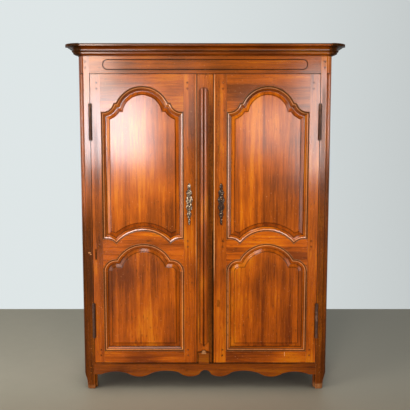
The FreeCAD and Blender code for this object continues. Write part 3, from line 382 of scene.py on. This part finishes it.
def worn_and_highlit(finish, freckle, ridges):
    """How pale: worn at sharp edges and small chips, worn with a painted highlight on each ridge."""
    edge = 1 - finish.hollows(SHARP_EDGE, inside=True).over(0.15, 0.62)
    rub = edge * finish.noise(finish.place, *RUBBING).over(0.45, 0.66)
    wear_and_highlight = (rub * 0.60).at_least(finish.noise(finish.place, *CHIP).over(0.69, 0.75) * 0.45)
    # Pale ridge along the mouldings: worn wood with a painted highlight.
    for low, high in ridges:
        wear_and_highlight = wear_and_highlight.at_least(finish.behind_face(low, high) * (freckle - 0.12) * 0.85)
    return wear_and_highlight


def waxed_cherry(name, grain, seed, shade=1.0, lines=(), ridges=(), wax=1.0):
    """Cherry with dark wax and painted shade, pale worn edges, painted highlights and marks."""
    look = bpy.context.scene.armoire_colours
    light, dark, bright = (
        shaded(c, shade) for c in (look.cherry_light, look.cherry_dark, look.honey))
    finish = Finish(f"wax_{name}", IOR=1.35, Specular_Tint=(*look.wax_glow, 1.0),
                    Coat_Roughness=0.14, Coat_IOR=1.36)
    tone, streak, pore, cloud = grown_wood(finish, grain, seed, dark, light, bright)
    blotch = finish.noise(finish.stretched(STRETCH[grain], (seed, 0.0, seed)), *BLOTCH)
    tone = finish.blend(tone, shaded(dark, 0.45), blotch.over(0.54, 0.74) * 0.40)

    freckle = finish.noise(finish.place, *FRECKLE)
    grime_and_shade = dark_wax_and_shade(finish, freckle, lines)
    wear_and_highlight = worn_and_highlit(finish, freckle, ridges)
    # Dark and pale marks; some dark ones are painted shade, some pale ones painted highlights.
    for x, z, wide, high, depth, pale in MARKS.get(name, ()):
        spot = finish.x.within(x, wide, wide * 0.25) * finish.z.within(z, high, high * 0.5)
        spot = spot * (depth + (freckle - 0.5) * 0.8)
        if pale:
            wear_and_highlight = wear_and_highlight.at_least(spot)
        else:
            grime_and_shade = grime_and_shade.at_least(spot)
    speck = finish.noise(finish.place, *SPECK).over(0.66, 0.74)
    short = [max(scale, FLECK_ALONG) for scale in STRETCH[grain]]
    fleck = finish.noise(finish.stretched(short, (0.0, seed, 0.0)), *FLECK).over(0.60, 0.70)

    # Paints dark wax and painted shade, then worn wood and painted highlights, then dark specks.
    tone = finish.blend(tone, tuple(look.grime_and_shade), grime_and_shade)
    tone = finish.blend(tone, shaded(look.rubbed_and_highlit, shade), wear_and_highlight)
    tone = finish.blend(tone, tuple(look.grime_and_shade), (speck * 0.60).at_least(fleck * 0.50))
    finish.paint("Base Color", tone)
    finish.paint("Roughness", 0.30 + cloud * 0.16 + grime_and_shade * 0.5 + pore * 0.06)
    polish = 0.60 + finish.z.over(0.55, 1.20) * 0.40
    finish.paint("Coat Weight", (1 - grime_and_shade) * polish * wax)
    finish.relief(streak * 0.35 + pore * 0.35 + cloud * 1.6, WAX_RELIEF, WAX_ROUND)
    return finish.material


def dry_wood(name, grain, seed, board_width, across):
    """Unpolished boards side by side across an axis, each a little different from the next."""
    look = bpy.context.scene.armoire_colours
    finish = Finish(name, IOR=1.45)
    tone, streak, pore, cloud = grown_wood(finish, grain, seed, tuple(look.inner_dark),
                                           tuple(look.inner_light), tuple(look.inner_light))
    board = (getattr(finish, across) / board_width + seed).math("FLOOR")
    chance = finish.node("ShaderNodeTexWhiteNoise", {"noise_dimensions": "1D"}, {"W": board},
                         "Value")
    tone = finish.blend(tone, tuple(look.inner_dark), chance * 0.45)
    dust = 1 - finish.hollows(DUST).over(0.25, 0.9)
    finish.paint("Base Color", finish.blend(tone, tuple(look.grime_and_shade), dust * 0.6))
    finish.paint("Roughness", 0.68 + streak * 0.2)
    finish.relief(streak * 0.6 + pore * 0.5, DRY_RELIEF)
    return finish.material


def browned_iron(name, seed, worn):
    """Forged iron, browned by age, with rubbed and rusted patches."""
    look = bpy.context.scene.armoire_colours
    finish = Finish(name, IOR=1.32)
    place = finish.stretched((1.0, 1.0, 0.55), (seed, seed, seed))
    patch = finish.noise(place, *IRON_PATCH)
    pit = finish.noise(place, *IRON_PIT)
    edge = 1 - finish.hollows(IRON_EDGE, inside=True).over(0.2, 0.7)
    rust = patch.over(0.46, 0.66) * (0.4 + worn)
    tone = finish.blend(tuple(look.iron), tuple(look.rust), rust)
    bare = edge * 0.35 * worn + rust * 0.12 * worn
    finish.paint("Base Color", finish.blend(tone, tuple(look.iron_worn), bare))
    finish.paint("Metallic", 0.12 - rust * 0.1)
    finish.paint("Roughness", 0.55 + pit * 0.22 + rust * 0.15)
    finish.relief(patch * 0.8 + pit * 0.5, IRON_RELIEF)
    return finish.material


def old_brass(name, seed, polish):
    """Cast brass, bright where hands rub it and dark in its low places."""
    look = bpy.context.scene.armoire_colours
    finish = Finish(name, IOR=1.45)
    patch = finish.noise(finish.stretched(EVEN, (seed, seed, seed)), *BRASS_PATCH)
    low = 1 - finish.hollows(BRASS_LOW).over(0.45, 1.0)
    spread = polish * 0.50
    dull = (patch.over(0.34 + spread, 0.41 + spread) + low * 1.3).at_most(1.0)
    finish.paint("Base Color", finish.blend(tuple(look.brass), tuple(look.tarnish), dull))
    finish.paint("Metallic", 1 - dull * 0.35)
    finish.paint("Roughness", 0.30 + dull * 0.28 + patch * 0.1)
    finish.relief(patch, BRASS_RELIEF)
    return finish.material


def dress(nodes, material):
    """Gives a finish to every slot of the named sub-parts."""
    for node in nodes:
        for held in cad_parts[node].material_slots:
            held.material = material


def matching(*words):
    """Names of the sub-parts that hold every word."""
    return [name for name in sorted(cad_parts) if all(word in name for word in words)]


def show(held):
    """Puts an object into the scene."""
    bpy.context.scene.collection.objects.link(held)
    return held


# --- operators ------------------------------------------------------------------------------

# A door's pieces: grain, shade and how much of the polish is left.
DOOR_WOOD = (
    ("hinge_stile", "Z", 0.80, 1.0),
    ("lock_stile", "Z", 0.86, 1.0),
    ("top_rail", "X", 0.80, 0.85),
    ("middle_rail", "X", 1.08, 1.0),
    ("bottom_rail", "X", 0.80, 1.0),
    ("upper_panel", "Z", 1.0, 1.0),
    ("lower_panel", "Z", 0.86, 1.0),
)
# Pieces along the front: shade, dark lines and how much of the polish is left.
FRONT_WOOD = (
    ("frieze_rail", 0.64, CARTOUCHE_LINES, 0.8),
    ("apron_rail", 0.41, (), 1.0),
    ("cornice_front", 0.60, (), 1.0),
    ("stile_base_block", 0.42, (), 1.0),
)
# Seeds of the wood patterns: the first of each group and the step to its next piece.
DOOR_SEED, DOOR_STEP, OTHER_DOOR_STEP = 3.0, 1.9, 17.0
UPRIGHT_SEED, FRONT_SEED, SIDE_RAIL_SEED, CORNICE_SEED, CARCASE_STEP = 40.0, 64.0, 80.0, 94.0, 2.3
DRY_SEED, DRY_STEP = 5.0, 3.1
PEG_SEED = 120.0
# Shades of the pieces that aren't in the tables; the cornice's sides are darker, painted shade.
UPRIGHT_SHADE, UPRIGHT_RIGHT_SHADE, SIDE_RAIL_SHADE, CORNICE_SIDE_SHADE = 0.76, 0.72, 0.9, 0.30
PEG_SHADE = 0.55


class ARMOIRE_OT_doors(bpy.types.Operator):
    """Waxes the stiles, rails and panels of both doors"""
    bl_idname = "armoire.doors"
    bl_label = "Doors"

    def execute(self, context):
        for place, side in enumerate(("left", "right")):
            for order, (word, grain, shade, wax) in enumerate(DOOR_WOOD):
                name = f"door_{side}_{word}"
                seed = DOOR_SEED + order * DOOR_STEP + place * OTHER_DOOR_STEP
                if "panel" in word:
                    lines, ridges = FIELD_LINES, ()
                else:
                    lines, ridges = MOULDING_LINES, MOULDING_RIDGES
                dress([name], waxed_cherry(name, grain, seed, shade, lines, ridges, wax))
        return {"FINISHED"}


class ARMOIRE_OT_carcase(bpy.types.Operator):
    """Waxes the posts, rails, cornice and sides"""
    bl_idname = "armoire.carcase"
    bl_label = "Carcase"

    def execute(self, context):
        upright = matching("post_front") + matching("side_panel") + ["centre_stile", "centre_reeds"]
        for order, name in enumerate(upright):
            seed = UPRIGHT_SEED + order * CARCASE_STEP
            shade = UPRIGHT_RIGHT_SHADE if "right" in name else UPRIGHT_SHADE
            dress([name], waxed_cherry(name, "Z", seed, shade))
        for order, (name, shade, lines, wax) in enumerate(FRONT_WOOD):
            seed = FRONT_SEED + order * CARCASE_STEP
            dress([name], waxed_cherry(name, "X", seed, shade, lines, wax=wax))
        for order, name in enumerate(matching("side_rail")):
            seed = SIDE_RAIL_SEED + order * CARCASE_STEP
            dress([name], waxed_cherry(name, "Y", seed, SIDE_RAIL_SHADE))
        for order, name in enumerate(("cornice_left", "cornice_right")):
            seed = CORNICE_SEED + order * CARCASE_STEP
            dress([name], waxed_cherry(name, "Y", seed, CORNICE_SIDE_SHADE))
        return {"FINISHED"}


class ARMOIRE_OT_inside(bpy.types.Operator):
    """Gives the back, floor, ceiling and shelves their unpolished wood"""
    bl_idname = "armoire.inside"
    bl_label = "Inside"

    def execute(self, context):
        # Pieces, grain, and how wide their boards are across which axis.
        groups = (
            (["back_boards"], "Z", 0.17, "x"),
            (matching("back_rail") + ["cornice_rear_rail"], "X", 9.0, "z"),
            (["post_rear_left", "post_rear_right"], "Z", 0.7, "x"),
            (["floor_boards", "ceiling_boards"], "X", 0.13, "y"),
            (["shelf_lower", "shelf_middle", "shelf_upper"], "X", 0.25, "y"),
            (["shelf_cleats_left", "shelf_cleats_right"], "Y", 0.44, "z"),
        )
        for order, (nodes, grain, width, across) in enumerate(groups):
            seed = DRY_SEED + DRY_STEP * order
            dress(nodes, dry_wood(f"dry_wood_{order}", grain, seed, width, across))
        return {"FINISHED"}


class ARMOIRE_OT_ironwork(bpy.types.Operator):
    """Browns the hinges and the locks"""
    bl_idname = "armoire.ironwork"
    bl_label = "Ironwork"

    def execute(self, context):
        dress(matching("hinge_sleeves"), browned_iron("iron_sleeves", 1.0, 0.7))
        dress(matching("hinge_pins"), browned_iron("iron_pins", 2.0, 0.25))
        locks = matching("lock_case") + matching("lock_bolt") + matching("lock_keep")
        dress(locks, browned_iron("iron_locks", 3.0, 0.4))
        return {"FINISHED"}


class ARMOIRE_OT_pegs(bpy.types.Operator):
    """Drives a pair of pegs through each mortise and tenon joint of the front"""
    bl_idname = "armoire.pegs"
    bl_label = "Pegs"

    # Each rail and the share of its height, from the top, that has the pegs at its middle.
    carcase_rails = (("frieze_rail", 1.0), ("apron_rail", 1.0))
    door_rails = (("top_rail", 0.55), ("middle_rail", 0.75), ("bottom_rail", 0.70))
    # Each peg lies along y, at any turn, and is swollen between these shares across and along.
    turns = ((math.pi / 2, 0.0, 0.0), (math.pi / 2, math.pi, 0.0))
    swells = ((0.8, 0.8, 1.0), (1.15, 1.15, 1.35))
    seed = 7

    def places(self, body):
        """Middles of the pegs of one body, beside the ends of its rails."""
        sizes = bpy.context.scene.armoire_sizes
        rails = self.carcase_rails
        if body != "carcase":
            rails = [(f"{body}_{rail}", share) for rail, share in self.door_rails]
        for rail, share in rails:
            low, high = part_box(rail)
            middle = high.z - (high.z - low.z) * share / 2
            for x, way in ((low.x, -1), (high.x, 1)):
                for lift in (-sizes.peg_pitch / 2, sizes.peg_pitch / 2):
                    yield x + way * sizes.peg_inset, CAD_FRONT - sizes.peg_rise, middle + lift

    def pattern(self, material):
        """Geometry nodes that set a whittled peg, each turned its own way, on every point."""
        sizes = bpy.context.scene.armoire_sizes
        tree = bpy.data.node_groups.new("pegs", "GeometryNodeTree")
        face = tree.interface
        face.new_socket("Geometry", in_out="INPUT", socket_type="NodeSocketGeometry")
        chosen = {}
        for label, kind, value in (("Radius", "Float", sizes.peg_radius),
                                   ("Length", "Float", sizes.peg_length),
                                   ("Sides", "Int", sizes.peg_sides), ("Seed", "Int", self.seed)):
            made = face.new_socket(label, in_out="INPUT", socket_type=f"NodeSocket{kind}")
            chosen[made.identifier] = value
        face.new_socket("Geometry", in_out="OUTPUT", socket_type="NodeSocketGeometry")

        pegs = Nodes(tree)
        given = {socket.name: Term(pegs, socket)
                 for socket in tree.nodes.new("NodeGroupInput").outputs}
        peg = pegs.node("GeometryNodeMeshCylinder", {}, {
            "Vertices": given["Sides"], "Radius": given["Radius"], "Depth": given["Length"]})
        order = pegs.node("GeometryNodeInputID", {}, {})
        turn = pegs.node("FunctionNodeRandomValue", {"data_type": "FLOAT_VECTOR"}, {
            0: self.turns[0], 1: self.turns[1], "ID": order, "Seed": given["Seed"]})
        swell = pegs.node("FunctionNodeRandomValue", {"data_type": "FLOAT_VECTOR"}, {
            0: self.swells[0], 1: self.swells[1], "Seed": given["Seed"]})
        points = pegs.node("GeometryNodeMeshToPoints", {}, {"Mesh": given["Geometry"]})
        driven = pegs.node("GeometryNodeInstanceOnPoints", {}, {
            "Points": points, "Instance": peg, "Rotation": turn, "Scale": swell})
        joined = pegs.node("GeometryNodeRealizeInstances", {}, {"Geometry": driven})
        done = pegs.node("GeometryNodeSetMaterial", {}, {"Geometry": joined, "Material": material})
        pegs.fill(tree.nodes.new("NodeGroupOutput").inputs[0], done)
        return tree, chosen

    def execute(self, context):
        tree, chosen = self.pattern(waxed_cherry("pegs", "Y", PEG_SEED, PEG_SHADE))
        for body in ("carcase", "door_left", "door_right"):
            points = bpy.data.meshes.new("peg_points")
            points.from_pydata(list(self.places(body)), [], [])
            held = show(bpy.data.objects.new(f"pegs_{body}", points))
            modifier = held.modifiers.new("pegs", "NODES")
            modifier.node_group = tree
            for socket, value in chosen.items():
                modifier[socket] = value
            ready = held.evaluated_get(context.evaluated_depsgraph_get())
            held.data = bpy.data.meshes.new_from_object(ready)
            held.modifiers.clear()
            held.data.name = held.name
            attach(held, body)
        return {"FINISHED"}


class ARMOIRE_OT_escutcheons(bpy.types.Operator):
    """Colours the brass escutcheons and lays cast leaves and beads on them"""
    bl_idname = "armoire.escutcheons"
    bl_label = "Escutcheons"

    # Pairs of leaves: height of their tips and half width, as shares of the plate.
    tips = ((0.09, 0.14), (0.25, 0.32), (0.42, 0.46), (0.60, 0.50), (0.78, 0.40), (0.93, 0.22))
    # As shares of the plate's height: a pair's height, and how far a bead sits under its tips.
    leaf_height, bead_drop = 0.085, 0.05
    # A bud beside its leaf: share of the leaf's reach, height, lean and length.
    bud_reach, bud_drop, bud_lean, bud_long = 0.42, 0.95, 0.7, 0.6
    around, along = 12, 8

    def lump(self, made, place, lean, sizes):
        """A flattened egg on the plate, its long way leaning from upright."""
        turned = Matrix.Translation(place) @ Matrix.Rotation(lean, 4, "Y")
        bmesh.ops.create_uvsphere(made, u_segments=self.around, v_segments=self.along, radius=1.0,
                                  matrix=turned @ Matrix.Diagonal((*sizes, 1.0)))

    def leaves(self, side):
        """Mesh of the leaves and beads of one escutcheon."""
        sizes = bpy.context.scene.armoire_sizes
        low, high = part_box(f"door_{side}_escutcheon")
        wide, tall = high.x - low.x, high.z - low.z
        middle = (low.x + high.x) / 2
        rise = tall * self.leaf_height
        made = bmesh.new()
        for order, (share, half) in enumerate(self.tips):
            top = low.z + share * tall
            for way in (-1, 1):
                reach = half * wide * (0.90 + 0.10 * math.sin(order * 2.3 + way))
                lean = way * math.atan2(reach, rise)
                long = math.hypot(reach, rise) / 2
                self.lump(made, (middle + way * reach / 2, low.y, top - rise / 2), lean,
                          (sizes.leaf_width, sizes.leaf_rise, long))
                bud = middle + way * reach * self.bud_reach
                self.lump(made, (bud, low.y, top - rise * self.bud_drop), lean * self.bud_lean,
                          (sizes.bud_width, sizes.leaf_rise, long * self.bud_long))
            self.lump(made, (middle, low.y, top - self.bead_drop * tall), 0.0,
                      (sizes.leaf_width, sizes.leaf_rise, sizes.bead_length))
        mesh = bpy.data.meshes.new(f"leaves_{side}")
        made.to_mesh(mesh)
        made.free()
        mesh.polygons.foreach_set("use_smooth", [True] * len(mesh.polygons))
        return mesh

    def execute(self, context):
        dress(["door_left_escutcheon"], old_brass("brass_bright", 1.0, 0.15))
        dress(["door_right_escutcheon"], old_brass("brass_dark", 2.0, 0.0))
        for side, polish in (("left", 0.13), ("right", 0.02)):
            mesh = self.leaves(side)
            mesh.materials.append(old_brass(f"brass_leaves_{side}", 4.0 + polish, polish))
            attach(show(bpy.data.objects.new(mesh.name, mesh)), f"door_{side}")
        return {"FINISHED"}


class ARMOIRE_OT_stage(bpy.types.Operator):
    """Sets the camera, the pale floor, the surroundings and the soft lights"""
    bl_idname = "armoire.stage"
    bl_label = "Stage"

    # Lamps: name, place, what they face, width and height in metres, watts and tint. The waxed
    # front mirrors those in the plane y = -7.5 towards the camera: its flat spot at (x, z) shows
    # what stands at about (3 x, 3 z - 3) there.
    white, warm, cold = (1.0, 1.0, 1.0), (1.0, 0.88, 0.72), (0.96, 0.95, 1.0)
    sun, dusk = (1.0, 0.95, 0.90), (1.0, 0.90, 0.82)
    lamps = (
        ("window", (-4.1, -2.8, 1.9), (0.1, -0.3, 1.0), (2.7, 3.6), 150.0, sun),
        ("fill", (4.2, -3.5, 1.8), (0.0, -0.3, 1.0), (1.8, 3.4), 80.0, white),
        ("ceiling", (-0.7, -2.0, 4.6), (0.0, -0.2, 0.6), (2.8, 0.8), 22.0, white),
        ("sky", (-1.0, -7.5, 4.35), (-1.0, 0.0, 1.2), (1.7, 2.1), 122.0, white),
        ("behind", (1.5, 5.0, 3.2), (0.0, 0.3, 1.0), (3.0, 2.6), 16.0, white),
        ("shine_left", (-1.85, -7.5, 1.72), (-1.85, 0.0, 1.72), (1.8, 1.2), 235.0, cold),
        ("glint_left", (-2.80, -7.5, 1.1), (-2.80, 0.0, 1.1), (0.4, 2.2), 50.0, warm),
        ("glint_right", (2.82, -7.5, 1.1), (2.82, 0.0, 1.1), (0.55, 2.4), 75.0, warm),
        ("shine_edge", (-2.18, -7.5, 2.78), (-2.18, 0.0, 2.78), (1.1, 0.84), 88.0, dusk),
        ("shine_right", (2.05, -7.5, 1.82), (2.05, 0.0, 1.82), (0.75, 1.85), 88.0, white),
        ("shine_stile", (-0.33, -7.5, 2.1), (-0.33, 0.0, 2.1), (0.4, 1.2), 7.0, white),
        ("shine_middle", (1.1, -7.5, 1.75), (1.1, 0.0, 1.75), (0.9, 0.9), 22.0, white),
    )

    def camera(self, scene, sizes):
        """Stands the camera in front of the armoire, looking a little down."""
        eye = bpy.data.cameras.new("eye")
        eye.lens = sizes.lens
        held = show(bpy.data.objects.new("eye", eye))
        held.location = (sizes.eye_shift, CAD_FRONT - sizes.eye_distance, sizes.eye_height)
        held.rotation_euler = (math.radians(90.0) - sizes.eye_tilt, 0.0, 0.0)
        scene.camera = held

    def floor(self, sizes, look):
        """Lays a plain floor, darker to the right, to the front and under the armoire: painted shade
        and a painted shadow.
        """
        reach, back = sizes.floor_reach, sizes.floor_back
        mesh = bpy.data.meshes.new("floor")
        mesh.from_pydata([(-reach, -reach, 0.0), (reach, -reach, 0.0), (reach, back, 0.0),
                          (-reach, back, 0.0)], [], [(0, 1, 2, 3)])
        show(bpy.data.objects.new("floor", mesh))
        plain = Finish("floor_paint", Roughness=0.6)
        mottle = plain.noise(plain.place, *FLOOR_MOTTLE)
        tone = plain.blend(tuple(look.floor), shaded(look.floor, 1.1), mottle)
        # Painted shade: darker to the right.
        tone = plain.blend(tone, shaded(look.floor, 0.72), plain.x.over(-0.6, 1.6))
        # Painted shade towards the viewer, in front of the middle.
        near = (1 - plain.y.over(-1.6, 0.2)) * (1 - plain.x.math("ABSOLUTE").over(1.1, 2.2))
        tone = plain.blend(tone, tuple(look.floor_near), near)
        # Painted shadow under and round the armoire.
        under = 1 - plain.hollows(FLOOR_SHADE).over(0.20, 0.85)
        plain.paint("Base Color", plain.blend(tone, tuple(look.grime_and_shade), under * 0.85))
        mesh.materials.append(plain.material)

    def surroundings(self, scene, look):
        """Shows pale surroundings to the camera and to mirrors, with faint light from all round."""
        world = bpy.data.worlds.new("surroundings")
        scene.world = world
        world.use_nodes = True
        sky = Nodes(world.node_tree)
        seen, glossy, through = (sky.node("ShaderNodeLightPath", {}, {}, f"Is {kind} Ray")
                                 for kind in ("Camera", "Glossy", "Transmission"))
        x, y, z = sky.split(sky.node("ShaderNodeTexCoord", {}, {}, "Generated"))
        share = seen.at_least(glossy.at_least(through) * y.math("GREATER_THAN", 0.0))
        rightward = (x * 1.6 + 0.45).at_least(0.0).at_most(1.0)
        wall = sky.blend(tuple(look.wall), tuple(look.wall_far), rightward * rightward)
        shown = sky.node("ShaderNodeBackground", {}, {"Color": wall})
        faint = sky.node("ShaderNodeBackground", {}, {"Color": (*look.room, 1.0), "Strength": 0.10})
        both = sky.node("ShaderNodeMixShader", {}, {0: share, 1: faint, 2: shown})
        sky.fill(sky.tree.nodes["World Output"].inputs["Surface"], both)
        sky.tree.nodes.remove(sky.tree.nodes["Background"])

    def execute(self, context):
        scene = context.scene
        sizes, look = scene.armoire_sizes, scene.armoire_colours
        self.camera(scene, sizes)
        self.floor(sizes, look)
        self.surroundings(scene, look)
        for name, place, aim, (width, height), watts, tint in self.lamps:
            light = bpy.data.lights.new(name, "AREA")
            light.shape = "RECTANGLE"
            light.size, light.size_y = width, height
            light.energy = watts
            light.color = tint
            held = show(bpy.data.objects.new(name, light))
            held.location = place
            held.rotation_euler = (Vector(aim) - Vector(place)).to_track_quat("-Z", "Y").to_euler()
        scene.view_settings.view_transform = "Standard"
        return {"FINISHED"}


STEPS = (ARMOIRE_OT_stage, ARMOIRE_OT_doors, ARMOIRE_OT_carcase, ARMOIRE_OT_inside,
         ARMOIRE_OT_ironwork, ARMOIRE_OT_pegs, ARMOIRE_OT_escutcheons)


class ARMOIRE_PT_panel(bpy.types.Panel):
    """Lists the steps that dress the armoire, with its colours and sizes"""
    bl_label = "Armoire"
    bl_idname = "ARMOIRE_PT_panel"
    bl_space_type = "VIEW_3D"
    bl_region_type = "UI"
    bl_category = "Armoire"

    def draw(self, context):
        for step in STEPS:
            self.layout.operator(step.bl_idname)
        for group in (context.scene.armoire_colours, context.scene.armoire_sizes):
            for name in group.bl_rna.properties.keys():
                if name not in {"rna_type", "name"}:
                    self.layout.prop(group, name)


CLASSES = (ArmoireColours, ArmoireSizes, *STEPS, ARMOIRE_PT_panel)


def register():
    for made in CLASSES:
        bpy.utils.register_class(made)
    bpy.types.Scene.armoire_colours = PointerProperty(type=ArmoireColours)
    bpy.types.Scene.armoire_sizes = PointerProperty(type=ArmoireSizes)


def unregister():
    del bpy.types.Scene.armoire_colours
    del bpy.types.Scene.armoire_sizes
    for made in reversed(CLASSES):
        bpy.utils.unregister_class(made)


def main():
    register()
    for step in STEPS:
        space, name = step.bl_idname.split(".")
        getattr(getattr(bpy.ops, space), name)()


if __name__ == "__main__":
    main()
